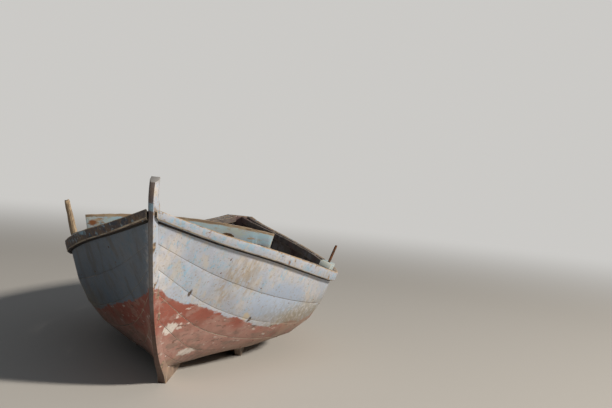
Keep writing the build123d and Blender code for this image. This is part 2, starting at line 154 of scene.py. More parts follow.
# Where the dark stains lie within the starboard side's painted shade
DARK_STAIN_PATCHES_IN_SHADE = 7, 0.48, 0.62, (1, 1, 0.35), (9, 4, 1)
PINK_PATCHES = 17, 0.50, 0.64, (0.5, 0.5, 1.2), (2, 2, 2)
UNDERCOAT_PATCHES = 24, 0.62, 0.67, (0.3, 0.3, 1.3), (5, 1, 1)
BARE_PATCHES = 30, 0.62, 0.67, (0.25, 0.25, 1.6), (8, 3, 2)
SMEAR_PATCHES = 13, 0.50, 0.62, (0.4, 0.4, 1.4), (1, 6, 4)
CHIP_PATCHES = 70, 0.60, 0.66, (0.5, 0.5, 1.2), (7, 7, 2)
MUD_PATCHES = 48, 0.36, 0.54, (0.7, 0.7, 1), (3, 3, 3)
SAND_PATCHES = 12, 0.36, 0.60, (0.5, 1, 1), (4, 2, 6)
PINK_INSIDE = 5, 0.52, 0.58, (1, 1, 0.7), (2, 5, 3)
PALE_ON_PLANKS = 7, 0.56, 0.60, (1, 1, 0.7), (6, 1, 3)
BARE_ON_PLANKS = 9, 0.48, 0.62, (1, 1, 0.7), (9, 0, 3)
PALE_ON_TIMBERS = 7, 0.58, 0.62, (1, 1, 0.7), (6, 1, 3)
BARE_ON_TIMBERS = 8, 0.44, 0.60, (1, 1, 0.7), (9, 0, 3)
RAIL_BROWN_PATCHES = 12, 0.46, 0.58, (1, 1, 1), (8, 1, 1)
RAIL_BLUE_BITS = 26, 0.57, 0.63, (0.6, 1, 1), (3, 3, 8)
RAIL_BLUE_TO_PORT = 20, 0.55, 0.62, (0.5, 1, 1), (6, 2, 2)
RAIL_RUST = 14, 0.60, 0.66, (1, 1, 1), (5, 5, 5)
FADED_PATCHES = 9, 0.44, 0.60, (1, 0.5, 1), (3, 3, 1)
TAN_PATCHES = 36, 0.54, 0.62, (1, 0.6, 1), (6, 6, 1)
THOLE_BLOTCHES = 22, 0.55, 0.68, (1, 1, 0.5)
EDGE_PAINT = 20, 0.50, 0.60, (0.7, 0.7, 0.7), (2, 7, 2)
EDGE_DARK = 34, 0.56, 0.66, (0.4, 0.4, 1)
SEAM_CREAM = 9, 0.38, 0.54, (1, 1, 1), (4, 4, 4)
# Dusty patches on the black bead of painted shadow under the rails
SHADOW_BEAD_DUSTY = 60, 0.58, 0.72, (0.3, 1, 1)

# Noises for the grain and the finer and broader wear: scale, stretch, shift
HULL_FINE = 38, (0.5, 0.5, 1)
HULL_BROAD = 2.4, (1, 1, 1.6)
LONG_GRAIN = 75, (0.04, 1, 1)
STEM_LONG_GRAIN = 90, (1, 1, 0.05)
STEM_WEAR = 24, (1, 1, 0.4)
RAIL_BROAD = 4, (1, 1, 1), (2, 0, 5)
RAIL_WEAR = 14, (0.5, 1, 1), (0, 3, 3)
BOARD_FINE = 42, (1, 0.35, 1)
BOARD_LONG_GRAIN = 75, (1, 0.05, 1)
BOARD_FLAKED = 7, (1, 0.6, 1.4), (1, 2, 8)
INSIDE_LONG_GRAIN = 70, (0.05, 0.4, 1)
THOLE_LONG_GRAIN = 160, (1, 1, 0.06)

# Heights, or places along or across the boat or over the paint line, where a paint, wear or painted shade
# begins and is full
# Heights where the painted shade low inside the boat begins and is full
INSIDE_SHADE_HEIGHTS = 0.80, 0.68
MUD_INSIDE = 0.35, 0.15
MUD_OVER_LINE = 0.20, 0.04
MUD_ABAFT = 1.30, 0.60
SAND_OVER_LINE = 0.10, 0.0
SAND_ABAFT = 1.15, 0.45
KEEL_MUD = 0.20, 0.06
LINE_EDGE = -0.005, 0.005
BOTTOM_FADES = 0.50, 0.15
SMEARS_LOW = 0.48, 0.20
STEM_FOOT = 0.52, 0.40
# Across the boat, where the starboard side's painted shade begins and is full
HULL_PAINTED_SHADE_SIDE = 0.0, -0.06
# Across the boat, where the starboard rail's dark colour and painted shade begin and are full
RAIL_NAVY_AND_SHADE_SIDE = 0.0, -0.03
RAIL_PORT = 0.0, 0.03

# Noise values where the grain's darker tint begins and is full
GRAIN_SHOWS = 0.35, 0.65
RAIL_GRAIN_SHOWS = 0.38, 0.68
BOARD_GRAIN_SHOWS = 0.35, 0.68
THOLE_GRAIN_SHOWS = 0.36, 0.66

# Strength and depth of the bumps that the grain and the finer wear make
FINE_BUMP = 0.4, 0.002
HULL_BUMP = 0.25, 0.0015
RAIL_BUMP = 0.35, 0.002
TIMBER_BUMP = 0.3, 0.002
INSIDE_BUMP = 0.3, 0.0015
THOLE_BUMP = 0.4, 0.0015
RUST_BUMP = 0.5, 0.001

# How much of the paint is gone from the keel and the stem, from 0, none, to 1, nearly all
KEEL_BARED = 0.45

# Doubles nearer than this are one point. The stem's foot has slivers that need the larger distance
MERGE = 0.00005
STEM_MERGE = 0.0025
# Edges shorter than this are dissolved
SLIVER = 0.000005

# Angles in degrees: faces within FLAT of each other are one, edges past SHARP are worn round in WEAR_STEPS,
# and a finished piece is shaded smooth over its SMOOTH angle
FLAT = 0.5
SHARP = 35
WEAR_STEPS = 2
SMOOTH_TIMBER = 32
SMOOTH_NAIL = 40
SMOOTH_THOLE = 50

ORIGIN = Vector((0, 0, 0))
AHEAD = Vector((1, 0, 0))
ACROSS = Vector((0, 1, 0))
UP = Vector((0, 0, 1))

# Shares of the stem's breadth and depth that are trimmed off above the rails
HEAD_DRAWN_IN = 0.12
HEAD_TRIMMED = 0.38
# Cuts from just under the sheer to the stem's top, and the height over which the trim sets in
HEAD_CUTS = 5
HEAD_UNDER = 0.01
HEAD_SETS_IN = 0.05
# The front is taken no nearer than this to the top
HEAD_ROUND = 0.03

# A rail's worn edges get painted shade where they face down past RAIL_UNDER, as parts of their normals
RAIL_UNDER = -0.15
# The bead lies where faces down past BEAD_UNDER meet faces inwards past BEAD_INNER, clear of the stem's side
BEAD_UNDER = -0.6
BEAD_INNER = -0.3
BEAD_CLEAR = 0.001
BEAD_ROUND = 2

# Fall of the raised board's top from its middle, over the distance from the middle squared
BOARD_CROWN = 0.13
BOARD_CUTS = 70
# Heights from the crown where the paint on the board's top edge begins to go and is gone
BOARD_TOP_WORN = -0.022, -0.004
# Scale of the raggedness along the boat and across it
BOARD_RAGGED = (25, 22)
# The broken hollow, from the board's fore face, the middle line and the top, its half axes and roughness
HOLLOW = (0.002, 0.275, -0.078)
HOLLOW_SIZE = (0.014, 0.036, 0.013)
HOLLOW_ROUGH = 0.35
HOLLOW_RUGGED = 2.3
# The rusty bolt, in from the board's starboard end and down from its top, and its stain
BOLT_IN = 0.045
BOLT_DOWN = 0.085
BOLT_STAIN = (0.05, 0.030, 0.030)

# Share of a thole's length at each end that is its end face, and how its head is rounded off
THOLE_END = 0.001
THOLE_HEAD = 0.80
THOLE_DROP = 0.004
THOLE_SLANT = 0.25
# Scale of a thole's knots along it and round it
THOLE_KNOTS = 5, 0.6
# The starboard block's corners this far below its top go up with the wedge
BLOCK_TOP = 0.02

# A rib's middle is RIB_HALF ahead of its after face, and faces more than RIB_APART apart are of two ribs
RIB_HALF = 0.013
RIB_APART = 0.1
# A fan of rays finds the planks: its centre's height, its reach, its half degrees from straight down, and how
# squarely a ray has to meet a face
FAN_HEIGHT = 0.75
FAN_REACH = 1.4
FAN_STEPS = range(4, 186)
FAN_FACING = 0.3
# A plank is nailed where this many rays meet it, and where it is broader than this many insets
FEWEST_MET = 4
NARROWEST = 3

NAIL_SIDES = 10
NAIL_THICK = 0.0016
NAIL_DOME = 0.0006
# How far a nail strays along the boat and up
NAIL_STRAY = 0.004, 0.003
NAIL_SEED = 5

# The camera stands ahead of the bow and a little to port, as the photograph was taken
CAMERA_PLACE = Vector((8.694, 0.955, 1.449))
CAMERA_AHEAD = Vector((-0.99802, -0.03544, -0.05205))
CAMERA_RIGHT = Vector((-0.04047, 0.99425, 0.09917))
PHOTO_WIDTH = 612
FOCAL_PIXELS = 1300
SENSOR = 36.0
CAMERA_REACH = 300

# The studio, with each lamp's place, aim, size, power in watts and tint
KEY_LAMP = (8.5, 17.8, 12.7), (0.7, 0, 0.5), (2.8, 2.8), 6400, (1.0, 0.95, 0.87)
FILL_LAMP = (10.0, -3.0, 4.0), (1.0, 0, 0.4), (6, 4), 16, (0.92, 0.95, 1.0)
SKY = (0.78, 0.84, 0.92)
SKY_STRENGTH = 0.18
BACKDROP = (0.60, 0.59, 0.57)
FLOOR = (0.52, 0.49, 0.45)
FLOOR_SIZE = 160
# Distances from the boat's middle between which the floor fades into the backdrop
FLOOR_FADES = 4.5, 13.0


def colour(name, description, default):
    return bpy.props.FloatVectorProperty(
        name=name, description=description, subtype="COLOR", size=3, min=0, max=1, default=default
    )


def distance(name, description, default):
    return bpy.props.FloatProperty(
        name=name, description=description, subtype="DISTANCE", unit="LENGTH", default=default
    )


class BoatPaint(bpy.types.PropertyGroup):
    """Colours of the boat's paint and timber, and of the shade painted on them."""

    topside: colour("Topside", "Weathered pale paint above the paint line", (0.490, 0.462, 0.450))
    topside_cool: colour("Cool topside", "Bluer parts of the pale paint", (0.380, 0.408, 0.460))
    # Painted shade: the starboard topside's paint darkened and made bluer for the shade that side lies in
    painted_shade: colour("Starboard topside", "Painted shade on the starboard side's paint, darker and bluer", (0.085, 0.120, 0.160))
    cream: colour("Cream", "Older cream coat under the pale paint", (0.480, 0.415, 0.320))
    blue: colour("Blue coat", "Older blue coat where it still shows", (0.235, 0.400, 0.520))
    bottom: colour("Bottom", "Brick red paint below the paint line", (0.265, 0.080, 0.055))
    bottom_worn: colour("Worn bottom", "Red paint faded and rubbed to dusty pink", (0.330, 0.180, 0.145))
    undercoat: colour("Undercoat", "Whitish coat bared where the bottom is scraped", (0.560, 0.500, 0.450))
    grime: colour("Grime", "Dried mud and sand along the bottom", (0.290, 0.215, 0.150))
    # Also painted as shade on the rails' lower edges
    seam: colour("Seam", "Dark filling in the seams between the planks", (0.240, 0.200, 0.165))
    timber: colour("Bare timber", "Tan wood where the paint has gone", (0.380, 0.270, 0.170))
    dark_timber: colour(
        "Dark timber", "Weathered wood in the grain, cracks and gouges", (0.085, 0.062, 0.046)
    )
    rust: colour("Rust", "Iron, and its stains on the rails and the raised board", (0.230, 0.090, 0.035))
    board: colour("Boards", "Light blue paint of the board and the blocks", (0.345, 0.490, 0.560))
    inside: colour("Inside", "Faded tan paint of the inside", (0.330, 0.270, 0.205))
    # Painted shade: the inside low down, darkened for the shade that lies in the boat
    inside_painted_shade: colour("Deep inside", "Painted shade on the timber low down in the boat", (0.055, 0.055, 0.066))


class BoatSizes(bpy.types.PropertyGroup):
    """Sizes of the small pieces and of the wear that the scene adds."""

    nail_head: distance("Nail head", "Diameter of a nail's head", 0.011)
    nail_inset: distance("Nail inset", "From a plank's edge to its nails", 0.022)
    seam_arris: distance("Seam arris", "Width of the worn edge of a hull plank", 0.0016)
    arris: distance("Arris", "Width of the worn edge of a timber", 0.004)
    # The bead under each rubbing rail is a painted shadow
    shadow_bead: distance("Pitch bead", "Radius of the bead of pitch under a rubbing rail", 0.009)
    rail_arris: distance("Rail arris", "Width of the worn edge of a rubbing rail", 0.007)
    block_wedge: distance("Block wedge", "Height of the wedge nailed on the starboard thole block", 0.024)
    board_wear: distance("Board wear", "Depth of the raised board's ragged top edge", 0.007)
    post_bend: distance("Post bend", "How far the bare thole post's head leans from its line", 0.012)


# Materials


class Finish:
    """A material, with short ways to add its nodes."""

    def __init__(self, name):
        self.material = bpy.data.materials.get(name) or bpy.data.materials.new(name)
        self.material.use_nodes = True
        self.tree = self.material.node_tree
        self.shader = self.tree.nodes["Principled BSDF"]
        self.place = self.node("ShaderNodeTexCoord").outputs["Object"]
        self.x, self.y, self.z = self.node("ShaderNodeSeparateXYZ", Vector=self.place).outputs

    def node(self, kind, **inputs):
        made = self.tree.nodes.new(kind)
        for name, value in inputs.items():
            self.plug(made.inputs[name], value)
        return made

    def plug(self, socket, value):
        if isinstance(value, bpy.types.NodeSocket):
            self.tree.links.new(value, socket)
        elif socket.type == "RGBA":
            socket.default_value = (*value, 1)
        else:
            socket.default_value = value

    def math(self, operation, first, second=0.0):
        made = self.tree.nodes.new("ShaderNodeMath")
        made.operation = operation
        self.plug(made.inputs[0], first)
        self.plug(made.inputs[1], second)
        return made.outputs[0]

    def times(self, *factors):
        product = factors[0]
        for factor in factors[1:]:
            product = self.math("MULTIPLY", product, factor)
        return product

    def mix(self, share, first, second):
        made = self.tree.nodes.new("ShaderNodeMix")
        made.data_type = "RGBA"
        sockets = [socket for socket in made.inputs if socket.enabled]
        for socket, value in zip(sockets, (share, first, second)):
            self.plug(socket, value)
        return [socket for socket in made.outputs if socket.enabled][0]

    def noise(self, scale, stretch=(1, 1, 1), shift=(0, 0, 0), detail=4.0, rough=0.6):
        """Noise with about scale patches to a metre, drawn out along an axis whose stretch is below 1."""
        mapped = self.node("ShaderNodeMapping", Vector=self.place, Location=shift, Scale=stretch)
        made = self.node(
            "ShaderNodeTexNoise", Vector=mapped.outputs[0], Scale=scale, Detail=detail, Roughness=rough
        )
        return made.outputs[0]

    def step(self, value, low, high):
        """0 below low and 1 above high, or the other way round where low is the larger."""
        made = self.node("ShaderNodeMapRange", Value=value)
        made.interpolation_type = "SMOOTHSTEP"
        made.inputs["From Min"].default_value = low
        made.inputs["From Max"].default_value = high
        return made.outputs[0]

    def patches(self, scale, low, high, stretch=(1, 1, 1), shift=(0, 0, 0)):
        """Patches of a noise, 0 where it is below low and 1 where it is above high."""
        return self.step(self.noise(scale, stretch, shift), low, high)

    def swing(self, ragged, reach):
        """A noise made to swing about 0, over reach from its lowest to its highest."""
        return self.times(self.math("SUBTRACT", ragged, 0.5), reach)

    def cover(self, coat, paint, *shares):
        """The coat with a paint over it, as far as the shares' product says."""
        return self.mix(self.times(*shares), coat, paint)

    def spot(self, centre, size, ragged, edge=0.5):
        """1 within an ellipsoid of half axes size round centre, with an edge made ragged by a noise."""
        away = self.tree.nodes.new("ShaderNodeVectorMath")
        away.operation = "SUBTRACT"
        self.plug(away.inputs[0], self.place)
        away.inputs[1].default_value = centre
        share = self.tree.nodes.new("ShaderNodeVectorMath")
        share.operation = "DIVIDE"
        self.plug(share.inputs[0], away.outputs[0])
        share.inputs[1].default_value = size
        length = self.tree.nodes.new("ShaderNodeVectorMath")
        length.operation = "LENGTH"
        self.plug(length.inputs[0], share.outputs[0])
        rough = self.math("ADD", length.outputs["Value"], self.swing(ragged, 4 * edge))
        return self.step(rough, 1.0, 1.0 - edge)

    def bump(self, height, strength, depth, before=None):
        made = self.node("ShaderNodeBump", Height=height, Strength=strength, Distance=depth)
        if before:
            self.tree.links.new(before, made.inputs["Normal"])
        return made.outputs[0]

    def inside_mask(self):
        """1 on faces that look inwards or up, as the inside of the planking does."""
        normal = self.node("ShaderNodeNewGeometry").outputs["Normal"]
        _, across, up = self.node("ShaderNodeSeparateXYZ", Vector=normal).outputs
        outward = self.times(across, self.math("SIGN", self.y))
        return self.step(self.math("SUBTRACT", outward, self.times(up, 0.8)), 0.05, -0.05)

    def end(self, base, rough, normal=None, metallic=0.0):
        self.plug(self.shader.inputs["Base Color"], base)
        self.plug(self.shader.inputs["Roughness"], rough)
        self.shader.inputs["Specular IOR Level"].default_value = 0.3
        self.shader.inputs["Metallic"].default_value = metallic
        if normal:
            self.tree.links.new(normal, self.shader.inputs["Normal"])
        return self.material


def topside_coat(f, p, fine, broad):
    """Pale paint with cooler, creamier and older blue patches, stains and flakes, and painted shade to
    starboard: darker and bluer there.
    """
    coat = f.cover(p.topside, p.topside_cool, f.step(broad, 0.40, 0.56))
    coat = f.cover(coat, GREY_BLUE, f.patches(*GREY_BLUE_PATCHES), 0.5)
    coat = f.cover(coat, p.cream, f.patches(*CREAM_PATCHES), 0.5)
    older = f.patches(*OLD_BLUE_PATCHES)
    broken = f.patches(*OLD_BLUE_BROKEN)
    coat = f.cover(coat, p.blue, older, broken, 0.75)
    coat = f.cover(coat, p.blue, f.patches(*BLUE_FLECKS), 0.65)
    coat = f.cover(coat, LILAC, f.spot(*LILAC_PATCH, broad, 0.6), 0.8)
    near_stem = f.spot(*BLUE_BY_STEM, broad, 0.7)
    coat = f.cover(coat, p.blue, near_stem, f.patches(*STEM_BLUE_BROKEN), 0.7)
    faint = f.times(f.patches(*FAINT_STAINS), 0.6)
    stained = f.math("ADD", f.spot(*BROWN_STAIN, broad), faint)
    streaks = f.step(f.noise(26, (1, 1, 0.10), (3, 1, 0), detail=3), 0.42, 0.62)
    coat = f.cover(coat, RUN_OFF, stained, streaks, 0.60)
    coat = f.cover(coat, FRECKLES, f.patches(*FRECKLE_PATCHES), 0.45)
    coat = f.cover(coat, FLAKES, f.patches(*FLAKE_PATCHES), 0.7)
    # Painted shade: the starboard side gets a darker, bluer colour with darker stains in it, for the shade it
    # lies in
    painted_shade = f.cover(p.painted_shade, DARK_STAINS_IN_SHADE, f.patches(*DARK_STAIN_PATCHES_IN_SHADE), 0.7)
    starboard = f.step(f.math("ADD", f.y, f.swing(fine, 0.1)), *HULL_PAINTED_SHADE_SIDE)
    return f.cover(coat, painted_shade, starboard, 0.82)


def bottom_coat(f, p, broad):
    """Brick red, dusty pink lower down, scraped to a whitish undercoat by the forefoot."""
    worn = f.math("ADD", f.times(f.step(f.z, *BOTTOM_FADES), 0.75), f.swing(broad, 2.2))
    coat = f.cover(p.bottom, p.bottom_worn, f.step(worn, 0.15, 0.75))
    coat = f.cover(coat, PINK_DUST, f.patches(*PINK_PATCHES), 0.45)
    coat = f.cover(coat, p.undercoat, f.patches(*UNDERCOAT_PATCHES), 0.8)
    jagged = f.noise(44, (0.8, 0.8, 1), (0, 5, 5), rough=0.5)
    for scrape in SCRAPES:
        coat = f.cover(coat, p.undercoat, f.spot(*scrape, jagged, 0.30))
    coat = f.cover(coat, p.dark_timber, f.patches(*BARE_PATCHES), 0.8)
    smears = f.patches(*SMEAR_PATCHES)
    coat = f.cover(coat, SMEARS, smears, f.step(f.z, *SMEARS_LOW), 0.7)
    return f.cover(coat, CHIPS, f.patches(*CHIP_PATCHES), 0.6)


def painted_hull(name, worn_off=0.0):
    """The hull's paint outside and inside. worn_off bares the timber, from 0, none, to 1, nearly all."""
    p = bpy.context.scene.boat_paint
    f = Finish(name)
    fine = f.noise(*HULL_FINE)
    broad = f.noise(*HULL_BROAD)
    rise = f.times(f.math("MAXIMUM", f.math("SUBTRACT", f.x, PAINT_TURN), 0.0), PAINT_SLOPE)
    above = f.math("SUBTRACT", f.z, f.math("ADD", rise, PAINT_LEVEL))
    above = f.math("ADD", above, f.math("ADD", f.swing(fine, LINE_FINE), f.swing(broad, LINE_BROAD)))
    top = topside_coat(f, p, fine, broad)
    # Splashed mud stays on the topsides above the paint line, and more of it abaft the bow
    muddy = f.times(f.step(above, *MUD_OVER_LINE), f.step(f.x, *MUD_ABAFT))
    top = f.cover(top, SPLASHED_MUD, muddy, f.patches(*MUD_PATCHES), 0.9)
    coat = f.cover(bottom_coat(f, p, broad), top, f.step(above, *LINE_EDGE))
    coat = f.cover(coat, p.cream, f.spot(*CREAM_CHIP, fine, 0.4))
    for gouge in GOUGES:
        coat = f.cover(coat, p.dark_timber, f.spot(gouge, GOUGE_SIZE, fine, 0.4))
    # Dry sand lies on the bottom abaft the bow, and mud along the keel
    sandy = f.times(f.step(f.x, *SAND_ABAFT), f.step(above, *SAND_OVER_LINE))
    coat = f.cover(coat, p.grime, sandy, f.patches(*SAND_PATCHES), 0.6)
    low = f.step(f.math("ADD", f.z, f.swing(fine, 0.2)), *KEEL_MUD)
    coat = f.cover(coat, f.cover(p.grime, DAMP_MUD, f.step(broad, 0.4, 0.6)), low, 0.85)

    grain = f.noise(*LONG_GRAIN)
    wood = f.cover(p.timber, p.dark_timber, f.step(grain, *GRAIN_SHOWS))
    if worn_off:
        bared = f.patches(16, 0.72 - 0.4 * worn_off, 0.78 - 0.4 * worn_off, (0.6, 1, 0.4), (6, 6, 1))
        coat = f.cover(coat, wood, bared)
    within = f.cover(p.inside, p.bottom_worn, f.patches(*PINK_INSIDE))
    within = f.cover(within, p.topside, f.patches(*PALE_ON_PLANKS))
    within = f.cover(within, wood, f.patches(*BARE_ON_PLANKS))
    # Painted shade darkens the inside of the planking low down
    within = f.cover(within, p.inside_painted_shade, f.step(f.z, *INSIDE_SHADE_HEIGHTS), 0.65)
    base = f.cover(coat, within, f.inside_mask())
    normal = f.bump(grain, *HULL_BUMP, f.bump(fine, *FINE_BUMP))
    return f.end(base, f.math("ADD", f.times(fine, 0.25), 0.55), normal)


def painted_keel(name):
    return painted_hull(name, KEEL_BARED)


def painted_stem(name):
    """The keel's paint, with grey and brown wood on the nose and starboard faces, brown at head and foot:
    partly bare wood, partly painted shade on the faces turned from the light.
    """
    p = bpy.context.scene.boat_paint
    painted_keel(name)
    f = Finish(name)
    normal = f.node("ShaderNodeNewGeometry").outputs["Normal"]
    _, across, _ = f.node("ShaderNodeSeparateXYZ", Vector=normal).outputs
    lit_side_facing = f.math("ADD", across, f.swing(f.noise(*STEM_WEAR), 1.2))
    grain = f.noise(*STEM_LONG_GRAIN)
    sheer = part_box("rail_port")[1][2]
    nose, _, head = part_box("stem")[1]
    grey = f.mix(grain, STEM_GREY_GRAIN, STEM_GREY)
    brown = f.mix(grain, STEM_BROWN_GRAIN, STEM_BROWN)
    brown_head = f.step(f.z, sheer - HEAD_BEGINS, sheer - HEAD_FULL)
    head_or_foot = f.math("MAXIMUM", brown_head, f.step(f.z, *STEM_FOOT))
    wood = f.cover(grey, brown, head_or_foot)
    centre = (nose + NOSE_PATCH[0], NOSE_PATCH[1], sheer + NOSE_PATCH[2])
    wood = f.cover(wood, p.blue, f.spot(centre, NOSE_PATCH_SIZE, f.noise(60), 0.4), 0.75)
    paint = f.shader.inputs["Base Color"].links[0].from_socket
    # Faces that don't look to port take the grey and brown wood: partly bare wood, partly painted shade of
    # the faces turned from the light
    coat = f.cover(paint, wood, f.step(lit_side_facing, 0.55, 0.30), 0.85)
    tip = f.step(f.z, head - TIP_BEGINS, head - TIP_FULL)
    f.plug(f.shader.inputs["Base Color"], f.cover(coat, END_GRAIN, tip, 0.8))
    return f.material


def rail_paint(name):
    """Pale paint worn off the upper faces; to starboard dark blue and brown with bits of blue, partly the
    rail's own dark colour and partly painted shade.
    """
    p = bpy.context.scene.boat_paint
    f = Finish(name)
    fine = f.noise(*HULL_FINE)
    coat = topside_coat(f, p, fine, f.noise(*RAIL_BROAD))
    grain = f.noise(*LONG_GRAIN)
    wood = f.cover(p.timber, RAIL_GRAIN, f.step(grain, *RAIL_GRAIN_SHOWS))
    worn = f.math("ADD", f.noise(*RAIL_WEAR), f.times(f.inside_mask(), 0.40))
    worn = f.math("SUBTRACT", worn, f.times(f.math("SIGN", f.y), 0.09))
    # To starboard the rail goes dark blue and brown, partly its own dark colour and partly painted shade
    starboard = f.step(f.y, *RAIL_NAVY_AND_SHADE_SIDE)
    navy_and_shade = f.cover(RAIL_NAVY_AND_SHADE, RAIL_BROWN, f.patches(*RAIL_BROWN_PATCHES))
    navy_and_shade = f.cover(navy_and_shade, p.blue, f.patches(*RAIL_BLUE_BITS), 0.7)
    coat = f.cover(coat, navy_and_shade, starboard, 0.8)
    wood = f.cover(wood, navy_and_shade, starboard, 0.75)
    coat = f.cover(coat, wood, f.step(worn, 0.50, 0.56))
    coat = f.cover(coat, p.blue, f.spot(*BLUE_RAIL_END, fine, 0.3), 0.9)
    blue_bits = f.patches(*RAIL_BLUE_TO_PORT)
    coat = f.cover(coat, p.blue, blue_bits, f.step(f.y, *RAIL_PORT), 0.6)
    rusty = f.patches(*RAIL_RUST)
    coat = f.cover(coat, p.rust, rusty, f.step(fine, 0.42, 0.58), 0.85)
    return f.end(coat, 0.7, f.bump(grain, *RAIL_BUMP, f.bump(fine, *FINE_BUMP)))


def board_paint(name):
    """Light blue paint flaking off tan wood, most along the raised board's top, with rust from its bolt."""
    p = bpy.context.scene.boat_paint
    f = Finish(name)
    fine = f.noise(*BOARD_FINE)
    grain = f.noise(*BOARD_LONG_GRAIN)
    wood = f.cover(p.timber, BOARD_GRAIN, f.step(grain, *BOARD_GRAIN_SHOWS))
    coat = f.cover(p.board, BOARD_FADED, f.patches(*FADED_PATCHES))
    coat = f.cover(coat, p.topside_cool, f.step(fine, 0.50, 0.60), 0.5)
    low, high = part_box("breakwater")
    flaked = f.math("ADD", f.noise(*BOARD_FLAKED), f.swing(fine, 0.5))
    crown = f.math("SUBTRACT", high[2], f.times(f.y, f.y, BOARD_CROWN))
    flaked = f.math("ADD", flaked, f.step(f.math("SUBTRACT", f.z, crown), *BOARD_TOP_WORN))
    coat = f.cover(coat, wood, f.step(flaked, 0.58, 0.64))
    coat = f.cover(coat, BOARD_TAN, f.patches(*TAN_PATCHES), 0.6)
    bolt = f.spot((high[0], low[1] + BOLT_IN, high[2] - BOLT_DOWN), BOLT_STAIN, fine, 0.6)
    coat = f.cover(coat, p.rust, bolt)
    return f.end(coat, 0.7, f.bump(grain, *TIMBER_BUMP, f.bump(fine, *FINE_BUMP)))


def inside_paint(name):
    """Faded tan paint with pink and pale patches on dark weathered timber, with painted shade and mud low
    down.
    """
    p = bpy.context.scene.boat_paint
    f = Finish(name)
    fine = f.noise(40)
    grain = f.noise(*INSIDE_LONG_GRAIN)
    wood = f.cover(p.timber, p.dark_timber, f.step(grain, *GRAIN_SHOWS))
    coat = f.cover(p.inside, p.bottom_worn, f.patches(*PINK_INSIDE))
    coat = f.cover(coat, p.topside, f.patches(*PALE_ON_TIMBERS))
    coat = f.cover(coat, wood, f.patches(*BARE_ON_TIMBERS))
    # Painted shade darkens the timbers low down
    coat = f.cover(coat, p.inside_painted_shade, f.step(f.z, *INSIDE_SHADE_HEIGHTS), 0.65)
    coat = f.cover(coat, p.grime, f.step(f.z, *MUD_INSIDE), 0.6)
    return f.end(coat, 0.75, f.bump(grain, *TIMBER_BUMP, f.bump(fine, *INSIDE_BUMP)))


def bare_wood(name):
    """Bare, dry wood with dark blotches."""
    f = Finish(name)
    grain = f.noise(*THOLE_LONG_GRAIN)
    base = f.cover(THOLE, THOLE_GRAIN, f.step(grain, *THOLE_GRAIN_SHOWS))
    base = f.cover(base, THOLE_BLOTCH, f.patches(*THOLE_BLOTCHES), 0.6)
    return f.end(base, 0.75, f.bump(grain, *THOLE_BUMP))


def worn_edge(name):
    """Timber bared along a worn edge, with some paint left on it."""
    p = bpy.context.scene.boat_paint
    f = Finish(name)
    base = f.cover(p.timber, p.topside, f.patches(*EDGE_PAINT), 0.7)
    base = f.cover(base, EDGE_GRAIN, f.patches(*EDGE_DARK), 0.7)
    return f.end(base, 0.8)


def seam_filling_and_shade(name):
    """Dark filling, with older cream paint over much of it; the same colour is the painted shade on the
    rails' lower edges.
    """
    p = bpy.context.scene.boat_paint
    f = Finish(name)
    return f.end(f.cover(p.seam, p.cream, f.patches(*SEAM_CREAM), 0.85), 0.85)


def shadow_bead_black(name):
    """Black, cracked and dusty: a painted shadow under the rubbing rails."""
    f = Finish(name)
    dusty = f.patches(*SHADOW_BEAD_DUSTY)
    return f.end(f.cover(SHADOW_BEAD_BLACK, SHADOW_BEAD_DUST, dusty, 0.5), 0.8)


def rusty_iron(name):
    p = bpy.context.scene.boat_paint
    f = Finish(name)
    fine = f.noise(150)
    base = f.cover(p.rust, RUST_DARK, f.step(fine, 0.40, 0.62))
    return f.end(base, 0.8, f.bump(fine, *RUST_BUMP), 0.2)


MATERIALS = {
    "hull_planks": painted_hull,
    "backbone": painted_keel,
    "stem": painted_stem,
    "rails": rail_paint,
    "boards": board_paint,
    "inside": inside_paint,
    "bare_wood": bare_wood,
    "iron": rusty_iron,
    "edge": worn_edge,
    "seam": seam_filling_and_shade,
    "pitch": shadow_bead_black,
}


def material(kind):
    """The scene's own material for a slot or an edge, made once."""
    name = f"{kind}_finish"
    return bpy.data.materials.get(name) or MATERIALS[kind](name)


# Shared ways to model a piece


def select_only(piece):
    bpy.ops.object.select_all(action="DESELECT")
    piece.select_set(True)
    bpy.context.view_layer.objects.active = piece


def declare(piece, slot, *nodes):
    """Hangs the piece on the body it rides on and hides the CAD nodes that it stands for. slot is not used.
    """
    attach(piece, BODY)
    if nodes:
        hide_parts(*nodes)


def close_folds():
    """Takes out the folded faces of a merged copy in edit mode and fills the holes that they leave."""
    bpy.ops.mesh.select_mode(type="VERT")
    bpy.ops.mesh.select_all(action="DESELECT")
    bpy.ops.mesh.select_non_manifold()
    bpy.ops.mesh.select_more()
    bpy.ops.mesh.select_mode(type="FACE")
    bpy.ops.mesh.delete(type="FACE")
    bpy.ops.mesh.select_mode(type="VERT")
    bpy.ops.mesh.select_all(action="SELECT")
    bpy.ops.mesh.delete_loose()
    bpy.ops.mesh.select_all(action="SELECT")
    bpy.ops.mesh.fill_holes(sides=0)
    bpy.ops.mesh.select_all(action="SELECT")
    bpy.ops.mesh.normals_make_consistent(inside=False)


def copied_timber(node):
    """A copy of a CAD node's mesh with its doubles merged and its flat faces whole."""
    slivers = node == "stem"
    piece = bpy.data.objects.new(f"{node}_worn", frame["nodes"][node].data.copy())
    bpy.context.scene.collection.objects.link(piece)
    piece.data.materials.clear()
    piece.data.materials.append(material(SLOTS[node]))
    select_only(piece)
    bpy.ops.object.mode_set(mode="EDIT")
    bpy.ops.mesh.select_all(action="SELECT")
    bpy.ops.mesh.remove_doubles(threshold=STEM_MERGE if slivers else MERGE)
    if slivers:
        bpy.ops.mesh.dissolve_degenerate(threshold=MERGE)
        close_folds()
    bpy.ops.mesh.dissolve_limited(angle_limit=math.radians(FLAT))
    bpy.ops.object.mode_set(mode="OBJECT")
    return piece


